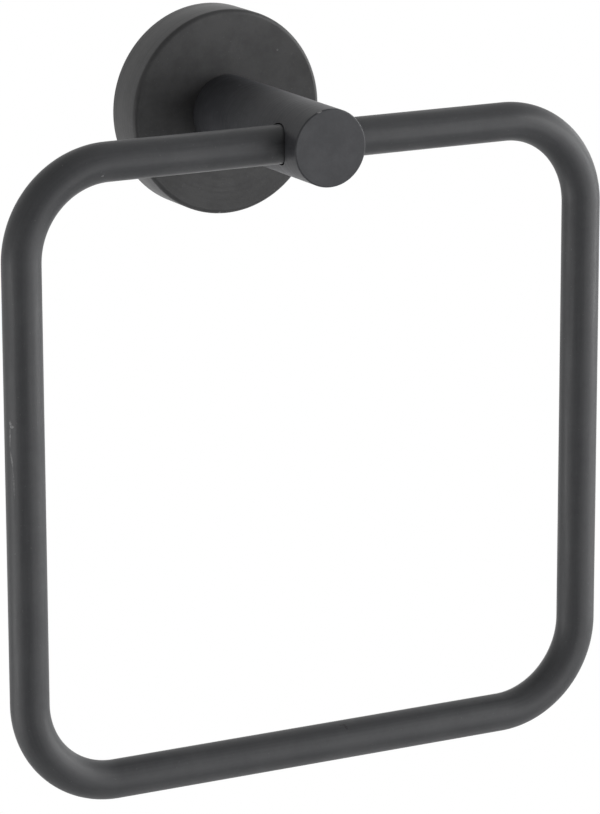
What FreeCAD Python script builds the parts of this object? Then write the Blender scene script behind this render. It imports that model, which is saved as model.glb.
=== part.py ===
# Square towel ring on a round rosette: a wall-mounted post with a closed loop of round tube through its nose.
# Frame: +Z up, +X to the right from the front, -Y into the room.
# The origin is the rosette's centre on the wall plane.
# All lengths are in millimetres.

import FreeCAD, Part
import os
import Sketcher
from FreeCAD import Vector

NODES_FOLDER = "parts"

# Driving dimensions: name, value, meaning.
SIZES = [
    # Rosette cover: a cup open towards the wall.
    ("cover_dia", 54.0, "outer diameter of the rosette cover"),
    ("cover_depth", 13.0, "wall plane to the cover's front face"),
    ("cover_wall", 3.0, "thickness of the cover's side wall"),
    ("cover_face", 3.0, "thickness of the cover's front"),
    ("cover_edge", 1.2, "radius on the front edge"),
    ("cover_rim", 0.3, "bevel on the rim at the wall"),
    # Wall bracket: the round plate under the cover.
    ("bracket_gap", 0.2, "radial play between plate and cover"),
    ("bracket_clear", 2.0, "room between the plate and the cover's inner face"),
    ("head_room", 1.5, "radial room round the post screw's head"),
    ("groove_inset", 3.0, "plate's front to the middle of the rim groove"),
    ("groove_depth", 2.2, "depth of the right-angled rim groove"),
    ("wall_hole_dia", 4.5, "holes for the wall screws"),
    ("wall_hole_inset", 5.6, "bottom of the groove to the middle of a wall screw hole"),
    ("wall_sink_depth", 2.2, "depth of the right-angled countersinks"),
    # Post: turned bar with a boss behind and a cross bore in its nose.
    ("post_dia", 20.0, "diameter of the post"),
    ("post_nose", 11.0, "tube axis to the post's front face"),
    ("post_edge", 0.4, "bevel on the front edge"),
    ("boss_dia", 12.0, "boss that sits in the cover's front"),
    ("boss_flat_depth", 1.0, "depth of each of the boss's two flats"),
    ("boss_gap", 0.1, "play between boss and cover all round"),
    ("boss_relief", 0.3, "how far the boss stays behind the inner face"),
    # Post screw and its washer.
    ("screw_dia", 6.0, "thread of the post screw"),
    ("screw_length", 14.0, "length under the head"),
    ("head_dia", 10.0, "head diameter"),
    ("head_depth", 4.0, "head height"),
    ("head_hex", 4.0, "hexagon across flats"),
    ("head_hex_depth", 2.3, "depth of the hexagon"),
    ("screw_end", 0.6, "bevel at the end of the thread"),
    ("hole_spare", 2.0, "room past the end of the screw"),
    ("washer_lap", 1.0, "how far the washer's rim passes the boss"),
    ("washer_thick", 1.0, "washer thickness"),
    ("washer_gap", 0.2, "play between washer and screw"),
    # Loop of round tube.
    ("bar_dia", 10.0, "outer diameter of the tube"),
    ("bar_wall", 1.5, "wall of the tube"),
    ("bar_reach", 59.0, "wall plane to the tube's axis"),
    ("bore_gap", 0.35, "play between tube and cross bore"),
    ("loop_width", 160.0, "left axis to right axis"),
    ("loop_height", 160.0, "top axis to bottom axis"),
    ("bend_radius", 23.5, "bend of the tube's axis at each corner"),
    ("end_gap", 0.6, "gap between the two tube ends"),
    # Spigot inside the two tube ends.
    ("pin_gap", 0.1, "play between spigot and tube"),
    ("pin_length", 18.0, "length of the spigot"),
    ("pin_edge", 0.8, "bevel on both ends of the spigot"),
    # Grub screws.
    ("grub_dia", 4.0, "thread of both grub screws"),
    ("grub_hex", 2.0, "hexagon across flats"),
    ("grub_hex_depth", 1.6, "depth of the hexagon"),
    ("grub_sunk", 0.4, "outer end below the cover's side wall"),
    ("grub_hidden", 1.0, "outer end below the post's underside"),
    ("grub_edge", 0.5, "bevel on the ends of a grub screw"),
    ("tip_gap", 0.05, "room at the tip of a grub screw"),
    ("thread_gap", 0.05, "radial play of every thread"),
]

SIZE = {alias: value for alias, value, meaning in SIZES}

# Sizes that follow from the driving ones and are used by more than one piece.
PLATE_RADIUS = "sizes.cover_dia / 2 - sizes.cover_wall - sizes.bracket_gap"
PLATE_DEPTH = "sizes.cover_depth - sizes.cover_face - sizes.bracket_clear"
GROOVE_REACH = f"{PLATE_DEPTH} - sizes.groove_inset"
THREAD_OPENING = "sizes.grub_dia + 2 * sizes.thread_gap"

plate_radius = SIZE["cover_dia"] / 2 - SIZE["cover_wall"] - SIZE["bracket_gap"]
plate_depth = SIZE["cover_depth"] - SIZE["cover_face"] - SIZE["bracket_clear"]
groove_reach = plate_depth - SIZE["groove_inset"]
thread_opening = SIZE["grub_dia"] + 2 * SIZE["thread_gap"]

document = FreeCAD.newDocument("towel_ring")


# Spreadsheet with one row for each driving dimension.
def make_sheet():
    sheet = document.addObject("Spreadsheet::Sheet", "sizes")
    for row, (alias, value, meaning) in enumerate(SIZES, start=1):
        sheet.set(f"A{row}", alias)
        sheet.set(f"B{row}", str(value))
        sheet.set(f"C{row}", meaning)
        sheet.setAlias(f"B{row}", alias)
    document.recompute()
    return sheet


# A named body, moved along an axis by an expression.
def make_body(label, **offsets):
    body = document.addObject("PartDesign::Body", label)
    body.Label = label
    for axis, expression in offsets.items():
        body.setExpression(f"Placement.Base.{axis}", expression)
    return body


# One of the body's own origin planes or axes.
def origin_feature(body, role):
    return next(part for part in body.Origin.OriginFeatures if part.Role == role)


# A sketch on an origin plane, lifted off it by an expression.
def make_sketch(body, plane, name, lift=None):
    sketch = body.newObject("Sketcher::SketchObject", name)
    sketch.AttachmentSupport = [(origin_feature(body, plane), "")]
    sketch.MapMode = "FlatFace"
    if lift is not None:
        sketch.setExpression("AttachmentOffset.Base.z", lift)
    return sketch


# A dimension of the sketch, bound to the sheet.
def bind(sketch, kind, references, name, expression, start):
    index = sketch.addConstraint(Sketcher.Constraint(kind, *references, start))
    sketch.renameConstraint(index, name)
    sketch.setExpression(f"Constraints.{name}", expression)


# A closed outline of straight edges; level and upright edges are kept so.
def add_outline(sketch, corners):
    count = len(corners)
    points = [Vector(x, y, 0) for x, y in corners]
    for i, point in enumerate(points):
        sketch.addGeometry(Part.LineSegment(point, points[(i + 1) % count]), False)
    for i, point in enumerate(points):
        following = points[(i + 1) % count]
        sketch.addConstraint(Sketcher.Constraint("Coincident", i, 2, (i + 1) % count, 1))
        if point.x == following.x:
            sketch.addConstraint(Sketcher.Constraint("Vertical", i))
        elif point.y == following.y:
            sketch.addConstraint(Sketcher.Constraint("Horizontal", i))


# A dimension between two corners of an outline; None stands for the sketch's origin.
def corner_size(sketch, kind, first, second, name, expression):
    start = sketch.getPoint(*corner(first))
    end = sketch.getPoint(*corner(second))
    value = end.x - start.x if kind == "DistanceX" else end.y - start.y
    bind(sketch, kind, (*corner(first), *corner(second)), name, expression, value)


def corner(number):
    return (-1, 1) if number is None else (number, 1)


# Holds corners of an outline on the sketch's horizontal or vertical axis.
def on_axis(sketch, axis, *corners):
    line = {"H": -1, "V": -2}[axis]
    for number in corners:
        sketch.addConstraint(Sketcher.Constraint("PointOnObject", number, 1, line))


# A circle whose centre lies on the sketch's axes or at bound distances from them.
def add_circle(sketch, diameter, expression, name, x=0.0, y=0.0, x_bound=None, y_bound=None):
    index = sketch.addGeometry(Part.Circle(Vector(x, y, 0), Vector(0, 0, 1), diameter / 2), False)
    bind(sketch, "Diameter", (index,), name, expression, diameter)
    if x_bound is None and y_bound is None:
        sketch.addConstraint(Sketcher.Constraint("Coincident", index, 3, -1, 1))
        return index
    if x_bound is None:
        sketch.addConstraint(Sketcher.Constraint("PointOnObject", index, 3, -2))
    else:
        bind(sketch, "DistanceX", centre_order(index, x), f"{name}_x", x_bound, abs(x))
    if y_bound is None:
        sketch.addConstraint(Sketcher.Constraint("PointOnObject", index, 3, -1))
    else:
        bind(sketch, "DistanceY", centre_order(index, y), f"{name}_y", y_bound, abs(y))
    return index


# Order of origin and centre that keeps the dimension positive.
def centre_order(index, value):
    return (index, 3, -1, 1) if value < 0 else (-1, 1, index, 3)


# A regular hexagon about the sketch's origin, with two level sides.
def add_hexagon(sketch, across, expression):
    ring = sketch.addGeometry(Part.Circle(Vector(0, 0, 0), Vector(0, 0, 1), across * 3 ** -0.5), True)
    spokes = [Vector(1, 0, 0), Vector(0.5, 0.75 ** 0.5, 0), Vector(-0.5, 0.75 ** 0.5, 0)]
    spokes += [spoke * -1 for spoke in spokes]
    points = [spoke * (across * 3 ** -0.5) for spoke in spokes]
    sides = [
        sketch.addGeometry(Part.LineSegment(point, points[(i + 1) % 6]), False)
        for i, point in enumerate(points)
    ]
    for i, side in enumerate(sides):
        sketch.addConstraint(Sketcher.Constraint("Coincident", side, 2, sides[(i + 1) % 6], 1))
        sketch.addConstraint(Sketcher.Constraint("PointOnObject", side, 1, ring))
    for side in sides[1:]:
        sketch.addConstraint(Sketcher.Constraint("Equal", sides[0], side))
    sketch.addConstraint(Sketcher.Constraint("Coincident", ring, 3, -1, 1))
    sketch.addConstraint(Sketcher.Constraint("Horizontal", sides[1]))
    bind(sketch, "Distance", (sides[1], 1, sides[4]), "across_flats", expression, across)


# A circle with two upright flats, each flat at half the given distance from the centre.
def add_flatted_circle(sketch, radius, flat, radius_bound, flat_bound):
    rise = (radius ** 2 - flat ** 2) ** 0.5
    top_right, top_left = Vector(flat, rise, 0), Vector(-flat, rise, 0)
    bottom_right, bottom_left = Vector(flat, -rise, 0), Vector(-flat, -rise, 0)
    crown, foot = Vector(0, radius, 0), Vector(0, -radius, 0)
    upper = sketch.addGeometry(Part.Arc(top_right, crown, top_left), False)
    left = sketch.addGeometry(Part.LineSegment(top_left, bottom_left), False)
    lower = sketch.addGeometry(Part.Arc(bottom_left, foot, bottom_right), False)
    right = sketch.addGeometry(Part.LineSegment(bottom_right, top_right), False)
    for first, second in ((upper, left), (left, lower), (lower, right), (right, upper)):
        sketch.addConstraint(Sketcher.Constraint("Coincident", first, 2, second, 1))
    sketch.addConstraint(Sketcher.Constraint("Coincident", upper, 3, -1, 1))
    sketch.addConstraint(Sketcher.Constraint("Coincident", lower, 3, -1, 1))
    sketch.addConstraint(Sketcher.Constraint("Vertical", left))
    sketch.addConstraint(Sketcher.Constraint("Vertical", right))
    bind(sketch, "Radius", (upper,), "round", radius_bound, radius)
    bind(sketch, "DistanceX", (left, 1, -1, 1), "left_flat", flat_bound, flat)
    bind(sketch, "DistanceX", (-1, 1, right, 1), "right_flat", flat_bound, flat)


# Solid of revolution about the sketch's vertical axis.
def revolve(body, sketch, name):
    feature = body.newObject("PartDesign::Revolution", name)
    feature.Profile = sketch
    feature.ReferenceAxis = (sketch, ["V_Axis"])
    feature.Angle = 360
    document.recompute()
    return feature


# Pad along the sketch's normal, or against it.
def pad(body, sketch, name, length, reverse=False, centred=False):
    feature = body.newObject("PartDesign::Pad", name)
    feature.Profile = sketch
    feature.setExpression("Length", length)
    feature.Reversed = reverse
    feature.Midplane = centred
    document.recompute()
    return feature


# Pocket through everything, or as deep as the given expression.
def pocket(body, sketch, name, length=None, reverse=False, centred=False):
    before = body.Shape.Volume
    feature = body.newObject("PartDesign::Pocket", name)
    feature.Profile = sketch
    if length is None:
        feature.Type = "ThroughAll"
    else:
        feature.setExpression("Length", length)
    feature.Reversed = reverse
    feature.Midplane = centred
    document.recompute()
    if not feature.Shape.Volume < before:
        raise RuntimeError(f"{name} removes nothing from {body.Label}")
    return feature


# Names of the round edges with a given radius at a given place along an axis of the body.
def round_edges(feature, radius, axis, place):
    names = []
    for number, edge in enumerate(feature.Shape.Edges, start=1):
        curve = edge.Curve
        if not isinstance(curve, Part.Circle):
            continue
        if abs(curve.Radius - radius) < CLOSE and abs(getattr(curve.Center, axis) - place) < CLOSE:
            names.append(f"Edge{number}")
    if not names:
        raise RuntimeError(f"{feature.Label} has no edge of radius {radius}")
    return names


CLOSE = 0.001


# Fillet or chamfer on named edges, with its size bound to the sheet.
def ease(body, kind, base, edges, name, expression):
    feature = body.newObject(f"PartDesign::{kind}", name)
    feature.Base = (base, edges)
    feature.setExpression("Radius" if kind == "Fillet" else "Size", expression)
    document.recompute()
    return feature


# Rosette cover: a turned cup with a flatted hole for the post and a threaded hole at six o'clock.
def make_rosette_cover():
    body = make_body("rosette_cover")
    outer, inner = SIZE["cover_dia"] / 2, SIZE["cover_dia"] / 2 - SIZE["cover_wall"]
    front, back = -SIZE["cover_depth"], SIZE["cover_face"] - SIZE["cover_depth"]
    profile = make_sketch(body, "XY_Plane", "cover_profile")
    add_outline(profile, [(outer, 0), (outer, front), (0, front), (0, back), (inner, back), (inner, 0)])
    on_axis(profile, "H", 0)
    on_axis(profile, "V", 2)
    corner_size(profile, "DistanceX", None, 0, "radius", "sizes.cover_dia / 2")
    corner_size(profile, "DistanceY", 1, None, "depth", "sizes.cover_depth")
    corner_size(profile, "DistanceY", 2, 3, "face", "sizes.cover_face")
    corner_size(profile, "DistanceX", 5, 0, "wall", "sizes.cover_wall")
    cup = revolve(body, profile, "cover_cup")
    edge = round_edges(cup, outer, "y", front)
    eased = ease(body, "Fillet", cup, edge, "cover_edge", "sizes.cover_edge")
    rim = round_edges(eased, outer, "y", 0) + round_edges(eased, inner, "y", 0)
    ease(body, "Chamfer", eased, rim, "cover_rim", "sizes.cover_rim")

    seat = make_sketch(body, "XZ_Plane", "cover_seat")
    add_flatted_circle(
        seat,
        SIZE["boss_dia"] / 2 + SIZE["boss_gap"],
        SIZE["boss_dia"] / 2 - SIZE["boss_flat_depth"] + SIZE["boss_gap"],
        "sizes.boss_dia / 2 + sizes.boss_gap",
        "sizes.boss_dia / 2 - sizes.boss_flat_depth + sizes.boss_gap",
    )
    pocket(body, seat, "cover_seat_hole", centred=True)

    thread = make_sketch(body, "XY_Plane", "cover_thread")
    add_circle(thread, thread_opening, THREAD_OPENING, "thread", y=-groove_reach, y_bound=GROOVE_REACH)
    pocket(body, thread, "cover_thread_hole")
    return body


# Wall bracket: a turned plate with a right-angled groove round its rim and two countersunk holes.
def make_wall_bracket():
    body = make_body("wall_bracket")
    outer, front, middle = plate_radius, -plate_depth, -groove_reach
    cut, bore = SIZE["groove_depth"], SIZE["head_dia"] / 2 + SIZE["head_room"]
    profile = make_sketch(body, "XY_Plane", "bracket_profile")
    add_outline(
        profile,
        [
            (outer, 0),
            (outer, middle + cut),
            (outer - cut, middle),
            (outer, middle - cut),
            (outer, front),
            (bore, front),
            (bore, 0),
        ],
    )
    on_axis(profile, "H", 0)
    profile.addConstraint(Sketcher.Constraint("Vertical", 1, 1, 3, 1))
    corner_size(profile, "DistanceX", None, 0, "radius", PLATE_RADIUS)
    corner_size(profile, "DistanceY", 4, None, "depth", PLATE_DEPTH)
    corner_size(profile, "DistanceY", 4, 2, "groove_inset", "sizes.groove_inset")
    corner_size(profile, "DistanceX", 2, 1, "groove_depth", "sizes.groove_depth")
    corner_size(profile, "DistanceY", 2, 1, "groove_upper", "sizes.groove_depth")
    corner_size(profile, "DistanceY", 3, 2, "groove_lower", "sizes.groove_depth")
    corner_size(profile, "DistanceX", None, 5, "bore", "sizes.head_dia / 2 + sizes.head_room")
    plate = revolve(body, profile, "bracket_plate")

    holes = make_sketch(body, "XZ_Plane", "bracket_holes")
    for side, name in ((-1, "left"), (1, "right")):
        add_circle(
            holes,
            SIZE["wall_hole_dia"],
            "sizes.wall_hole_dia",
            name,
            x=side * (plate_radius - SIZE["groove_depth"] - SIZE["wall_hole_inset"]),
            x_bound=f"{PLATE_RADIUS} - sizes.groove_depth - sizes.wall_hole_inset",
        )
    drilled = pocket(body, holes, "bracket_wall_holes", centred=True)
    mouths = round_edges(drilled, SIZE["wall_hole_dia"] / 2, "y", front)
    ease(body, "Chamfer", drilled, mouths, "bracket_countersinks", "sizes.wall_sink_depth")
    return body


# Post: a turned cylinder with a flatted boss, a cross bore for the tube and two threaded holes.
# Its own origin is its seat on the cover's front face.
def make_post():
    body = make_body("post", y="-sizes.cover_depth")
    radius = SIZE["post_dia"] / 2
    axis = SIZE["cover_depth"] - SIZE["bar_reach"]
    nose = axis - SIZE["post_nose"]
    profile = make_sketch(body, "XY_Plane", "post_profile")
    add_outline(profile, [(radius, 0), (radius, nose), (0, nose), (0, 0)])
    on_axis(profile, "H", 0)
    on_axis(profile, "V", 2)
    corner_size(profile, "DistanceX", None, 0, "radius", "sizes.post_dia / 2")
    corner_size(profile, "DistanceY", 1, None, "reach",
                "sizes.bar_reach + sizes.post_nose - sizes.cover_depth")
    stem = revolve(body, profile, "post_stem")
    edge = round_edges(stem, radius, "y", nose)
    ease(body, "Chamfer", stem, edge, "post_front_edge", "sizes.post_edge")

    boss = make_sketch(body, "XZ_Plane", "post_boss_outline")
    add_flatted_circle(
        boss,
        SIZE["boss_dia"] / 2,
        SIZE["boss_dia"] / 2 - SIZE["boss_flat_depth"],
        "sizes.boss_dia / 2",
        "sizes.boss_dia / 2 - sizes.boss_flat_depth",
    )
    pad(body, boss, "post_boss", "sizes.cover_face - sizes.boss_relief", reverse=True)

    bore = make_sketch(body, "YZ_Plane", "post_cross_bore")
    add_circle(
        bore,
        SIZE["bar_dia"] + 2 * SIZE["bore_gap"],
        "sizes.bar_dia + 2 * sizes.bore_gap",
        "bore",
        x=axis,
        x_bound="sizes.bar_reach - sizes.cover_depth",
    )
    pocket(body, bore, "post_cross_hole", centred=True)

    grub = make_sketch(body, "XY_Plane", "post_grub_thread")
    add_circle(
        grub, thread_opening, THREAD_OPENING, "thread", y=axis, y_bound="sizes.bar_reach - sizes.cover_depth"
    )
    pocket(body, grub, "post_grub_hole")

    screw = make_sketch(body, "XZ_Plane", "post_screw_thread", lift="-sizes.cover_face")
    add_circle(
        screw,
        SIZE["screw_dia"] + 2 * SIZE["thread_gap"],
        "sizes.screw_dia + 2 * sizes.thread_gap",
        "thread",
    )
    pocket(
        body,
        screw,
        "post_screw_hole",
        length="sizes.screw_length - sizes.washer_thick + sizes.hole_spare",
        reverse=True,
    )
    return body


# Loop: round tube swept along a square path with four bends.
# Its two ends meet inside the post's cross bore.
def make_ring():
    body = make_body("ring", y="-sizes.bar_reach")
    gap, bend = SIZE["end_gap"] / 2, SIZE["bend_radius"]
    right, low = SIZE["loop_width"] / 2, -SIZE["loop_height"]
    path = make_sketch(body, "XZ_Plane", "ring_path")
    runs = [
        ((gap, 0), (right - bend, 0)),
        ((right, -bend), (right, low + bend)),
        ((right - bend, low), (bend - right, low)),
        ((-right, low + bend), (-right, -bend)),
        ((bend - right, 0), (-gap, 0)),
    ]
    lines = [
        path.addGeometry(Part.LineSegment(Vector(*start, 0), Vector(*end, 0)), False)
        for start, end in runs
    ]
    centres = [(right - bend, -bend), (right - bend, low + bend), (bend - right, low + bend), (bend - right, -bend)]
    for number, (x, y) in enumerate(centres):
        start, end = Vector(*runs[number][1], 0), Vector(*runs[number + 1][0], 0)
        outward = Vector(x, y, 0) - Vector(0, low / 2, 0)
        corner_way = Vector(1 if outward.x > 0 else -1, 1 if outward.y > 0 else -1, 0).normalize()
        middle = Vector(x, y, 0) + corner_way * bend
        arc = path.addGeometry(Part.Arc(start, middle, end), False)
        first, second = arc_ends(path, arc, start)
        path.addConstraint(Sketcher.Constraint("Tangent", lines[number], 2, arc, first))
        path.addConstraint(Sketcher.Constraint("Tangent", arc, second, lines[number + 1], 1))
        if number:
            path.addConstraint(Sketcher.Constraint("Equal", first_arc, arc))
        else:
            first_arc = arc
            bind(path, "Radius", (arc,), "bend", "sizes.bend_radius", bend)
    for number in (0, 2, 4):
        path.addConstraint(Sketcher.Constraint("Horizontal", lines[number]))
    for number in (1, 3):
        path.addConstraint(Sketcher.Constraint("Vertical", lines[number]))
    path.addConstraint(Sketcher.Constraint("PointOnObject", lines[0], 1, -1))
    path.addConstraint(Sketcher.Constraint("PointOnObject", lines[4], 2, -1))
    bind(path, "DistanceX", (-1, 1, lines[0], 1), "right_end", "sizes.end_gap / 2", gap)
    bind(path, "DistanceX", (lines[4], 2, -1, 1), "left_end", "sizes.end_gap / 2", gap)
    bind(path, "DistanceX", (-1, 1, lines[1], 1), "right_side", "sizes.loop_width / 2", right)
    bind(path, "DistanceX", (lines[3], 1, -1, 1), "left_side", "sizes.loop_width / 2", right)
    bind(path, "DistanceY", (lines[2], 1, -1, 1), "height", "sizes.loop_height", -low)

    section = make_sketch(body, "YZ_Plane", "ring_section", lift="sizes.end_gap / 2")
    add_circle(section, SIZE["bar_dia"], "sizes.bar_dia", "outside")
    add_circle(
        section,
        SIZE["bar_dia"] - 2 * SIZE["bar_wall"],
        "sizes.bar_dia - 2 * sizes.bar_wall",
        "inside",
    )
    document.recompute()
    tube = body.newObject("PartDesign::AdditivePipe", "ring_tube")
    tube.Profile = section
    tube.Spine = path
    tube.Transition = "Right corner"
    document.recompute()
    return body


# The arc's end numbers in the order in which the path runs.
def arc_ends(sketch, arc, start):
    return (1, 2) if sketch.getPoint(arc, 1).distanceToPoint(start) < CLOSE else (2, 1)


# Spigot that lines up the two tube ends.
def make_ring_joint_pin():
    body = make_body("ring_joint_pin", y="-sizes.bar_reach")
    diameter = SIZE["bar_dia"] - 2 * SIZE["bar_wall"] - 2 * SIZE["pin_gap"]
    section = make_sketch(body, "YZ_Plane", "pin_section")
    add_circle(
        section,
        diameter,
        "sizes.bar_dia - 2 * sizes.bar_wall - 2 * sizes.pin_gap",
        "outside",
    )
    rod = pad(body, section, "pin_rod", "sizes.pin_length", centred=True)
    half = SIZE["pin_length"] / 2
    ends = round_edges(rod, diameter / 2, "x", -half) + round_edges(rod, diameter / 2, "x", half)
    ease(body, "Chamfer", rod, ends, "pin_ends", "sizes.pin_edge")
    return body


# Washer between the post screw's head and the inside of the cover.
def make_post_washer():
    body = make_body("post_washer", y="sizes.cover_face - sizes.cover_depth")
    section = make_sketch(body, "XZ_Plane", "washer_section")
    add_circle(
        section,
        SIZE["boss_dia"] + 2 * SIZE["washer_lap"],
        "sizes.boss_dia + 2 * sizes.washer_lap",
        "outside",
    )
    add_circle(
        section,
        SIZE["screw_dia"] + 2 * SIZE["washer_gap"],
        "sizes.screw_dia + 2 * sizes.washer_gap",
        "hole",
    )
    pad(body, section, "washer_disc", "sizes.washer_thick", reverse=True)
    return body


# Post screw: socket head inside the cup, thread into the post's boss.
# Its own origin is the face under the head.
def make_post_screw():
    body = make_body("post_screw", y="sizes.cover_face + sizes.washer_thick - sizes.cover_depth")
    head, shank = SIZE["head_dia"] / 2, SIZE["screw_dia"] / 2
    top, end, bevel = SIZE["head_depth"], -SIZE["screw_length"], SIZE["screw_end"]
    profile = make_sketch(body, "XY_Plane", "screw_profile")
    add_outline(
        profile,
        [(0, top), (head, top), (head, 0), (shank, 0), (shank, end + bevel), (shank - bevel, end), (0, end)],
    )
    on_axis(profile, "V", 0)
    on_axis(profile, "H", 2)
    corner_size(profile, "DistanceY", None, 0, "head_height", "sizes.head_depth")
    corner_size(profile, "DistanceX", None, 1, "head_radius", "sizes.head_dia / 2")
    corner_size(profile, "DistanceX", None, 3, "shank_radius", "sizes.screw_dia / 2")
    corner_size(profile, "DistanceY", 6, None, "length", "sizes.screw_length")
    corner_size(profile, "DistanceX", 5, 4, "bevel_across", "sizes.screw_end")
    corner_size(profile, "DistanceY", 5, 4, "bevel_along", "sizes.screw_end")
    revolve(body, profile, "screw_blank")
    socket = make_sketch(body, "XZ_Plane", "screw_socket", lift="-sizes.head_depth")
    add_hexagon(socket, SIZE["head_hex"], "sizes.head_hex")
    pocket(body, socket, "screw_hexagon", length="sizes.head_hex_depth", reverse=True)
    return body


# Grub screw with its tip up at its own origin; the tip is a cone or a bevelled flat.
def make_grub_screw(label, length, length_bound, tip, tip_bound, **offsets):
    body = make_body(label, **offsets)
    radius, edge = SIZE["grub_dia"] / 2, SIZE["grub_edge"]
    profile = make_sketch(body, "XZ_Plane", "grub_profile")
    add_outline(
        profile,
        [(0, 0), (radius - tip, 0), (radius, -tip), (radius, edge - length), (radius - edge, -length), (0, -length)]
        if tip < radius
        else [(0, 0), (radius, -radius), (radius, edge - length), (radius - edge, -length), (0, -length)],
    )
    last = 5 if tip < radius else 4
    profile.addConstraint(Sketcher.Constraint("Coincident", 0, 1, -1, 1))
    corner_size(profile, "DistanceY", last, None, "length", length_bound)
    corner_size(profile, "DistanceX", None, last - 2, "radius", "sizes.grub_dia / 2")
    corner_size(profile, "DistanceX", last - 1, last - 2, "edge_across", "sizes.grub_edge")
    corner_size(profile, "DistanceY", last - 1, last - 2, "edge_along", "sizes.grub_edge")
    corner_size(profile, "DistanceY", last - 3, None, "tip_along", tip_bound)
    if tip < radius:
        corner_size(profile, "DistanceX", 1, 2, "tip_across", tip_bound)
    revolve(body, profile, "grub_blank")
    socket = make_sketch(body, "XY_Plane", "grub_socket", lift=f"-({length_bound})")
    add_hexagon(socket, SIZE["grub_hex"], "sizes.grub_hex")
    pocket(body, socket, "grub_hexagon", length="sizes.grub_hex_depth", reverse=True)
    return body


# Cone-point screw from the cover's side wall into the bracket's groove.
def make_cover_grub_screw():
    return make_grub_screw(
        "cover_grub_screw",
        SIZE["cover_wall"] + SIZE["bracket_gap"] + SIZE["groove_depth"] - SIZE["tip_gap"] - SIZE["grub_sunk"],
        "sizes.cover_wall + sizes.bracket_gap + sizes.groove_depth - sizes.tip_gap - sizes.grub_sunk",
        SIZE["grub_dia"] / 2,
        "sizes.grub_dia / 2",
        y=f"-({GROOVE_REACH})",
        z="sizes.groove_depth + sizes.bracket_gap + sizes.cover_wall - sizes.cover_dia / 2 - sizes.tip_gap",
    )


# Flat-point screw from under the post against the tube.
def make_ring_grub_screw():
    return make_grub_screw(
        "ring_grub_screw",
        (SIZE["post_dia"] - SIZE["bar_dia"]) / 2 - SIZE["tip_gap"] - SIZE["grub_hidden"],
        "(sizes.post_dia - sizes.bar_dia) / 2 - sizes.tip_gap - sizes.grub_hidden",
        SIZE["grub_edge"],
        "sizes.grub_edge",
        y="-sizes.bar_reach",
        z="-sizes.bar_dia / 2 - sizes.tip_gap",
    )


# Every object must be computed without fault and every piece must be one valid solid.
def check_model(pieces):
    for item in document.Objects:
        if {"Invalid", "Error"} & set(item.State):
            raise RuntimeError(f"{item.Label} is {item.State}")
    for piece in pieces:
        shape = piece.Shape
        if shape.isNull() or not shape.isValid() or len(shape.Solids) != 1:
            raise RuntimeError(f"{piece.Label} is not one valid solid")


def main():
    make_sheet()
    pieces = [
        make_rosette_cover(),
        make_wall_bracket(),
        make_post(),
        make_ring(),
        make_ring_joint_pin(),
        make_post_washer(),
        make_post_screw(),
        make_cover_grub_screw(),
        make_ring_grub_screw(),
    ]
    document.recompute()
    check_model(pieces)
    os.makedirs(NODES_FOLDER, exist_ok=True)
    for piece in pieces:
        piece.Shape.exportStep(os.path.join(NODES_FOLDER, f"{piece.Label}.step"))
        box = piece.Shape.BoundBox
        print(f"{piece.Label:18s} {piece.Shape.Volume:10.1f} mm3  "
              f"x {box.XMin:8.2f} {box.XMax:8.2f}  y {box.YMin:8.2f} {box.YMax:8.2f}  z {box.ZMin:8.2f} {box.ZMax:8.2f}")


main()
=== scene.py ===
"""Satin black towel ring: a square loop of round tube through a straight post on a round wall rosette."""

import logging
import math
from collections.abc import Callable, Iterable
from dataclasses import dataclass, replace
from enum import Enum
from typing import Any

import bmesh
import bpy
from mathutils import Matrix, Vector

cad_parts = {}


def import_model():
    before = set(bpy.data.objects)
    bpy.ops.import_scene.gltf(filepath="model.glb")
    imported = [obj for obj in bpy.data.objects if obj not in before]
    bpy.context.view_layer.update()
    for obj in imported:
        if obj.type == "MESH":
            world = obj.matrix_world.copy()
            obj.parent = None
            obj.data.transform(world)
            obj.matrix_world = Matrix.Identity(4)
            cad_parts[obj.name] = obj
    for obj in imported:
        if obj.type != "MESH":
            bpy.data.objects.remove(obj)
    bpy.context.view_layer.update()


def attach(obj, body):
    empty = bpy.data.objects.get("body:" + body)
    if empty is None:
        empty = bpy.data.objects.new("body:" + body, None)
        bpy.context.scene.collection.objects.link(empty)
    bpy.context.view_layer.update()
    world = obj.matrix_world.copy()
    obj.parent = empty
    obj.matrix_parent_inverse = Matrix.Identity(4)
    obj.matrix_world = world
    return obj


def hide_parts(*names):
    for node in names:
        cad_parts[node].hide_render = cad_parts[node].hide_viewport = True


LOG = logging.getLogger("towel_ring")
MM = 0.001
QUARTER = math.pi / 2
# How near a point lies to where it is looked for, how far a cutter runs out, and which points are one
CLOSE = 0.02 * MM
PAST = 1.0 * MM
SEAM = 0.0005 * MM

Point = tuple[float, float, float]
Socket = bpy.types.NodeSocket


class Tip(Enum):
    """End of a grub screw that bears on its partner."""

    CONE = "cone"
    FLAT = "flat"


class Along(Enum):
    """Axis that a turned blank lies on, with the turn that lays a Z cylinder there."""

    X = (0.0, QUARTER, 0.0)
    Y = (QUARTER, 0.0, 0.0)
    Z = (0.0, 0.0, 0.0)

    @property
    def number(self) -> int:
        """Returns the axis as 0, 1 or 2."""
        return "XYZ".index(self.name)

    @property
    def way(self) -> Vector:
        """Returns a step of one along the axis."""
        return Vector((self is Along.X, self is Along.Y, self is Along.Z))


class Pick(Enum):
    """What is selected in edit mode."""

    POINTS = "VERT"
    EDGES = "EDGE"
    FACES = "FACE"


class Join(Enum):
    """How a second piece changes the first."""

    CUT = "DIFFERENCE"
    WELD = "UNION"


@dataclass(frozen=True)
class Thread:
    """Screw thread: radius of the plain shank or hole, depth of its V, pitch, and the side it is cut on."""

    radius: float
    depth: float
    pitch: float
    inside: bool = False
    fullness: float = 0.88
    steps: int = 36


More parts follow.
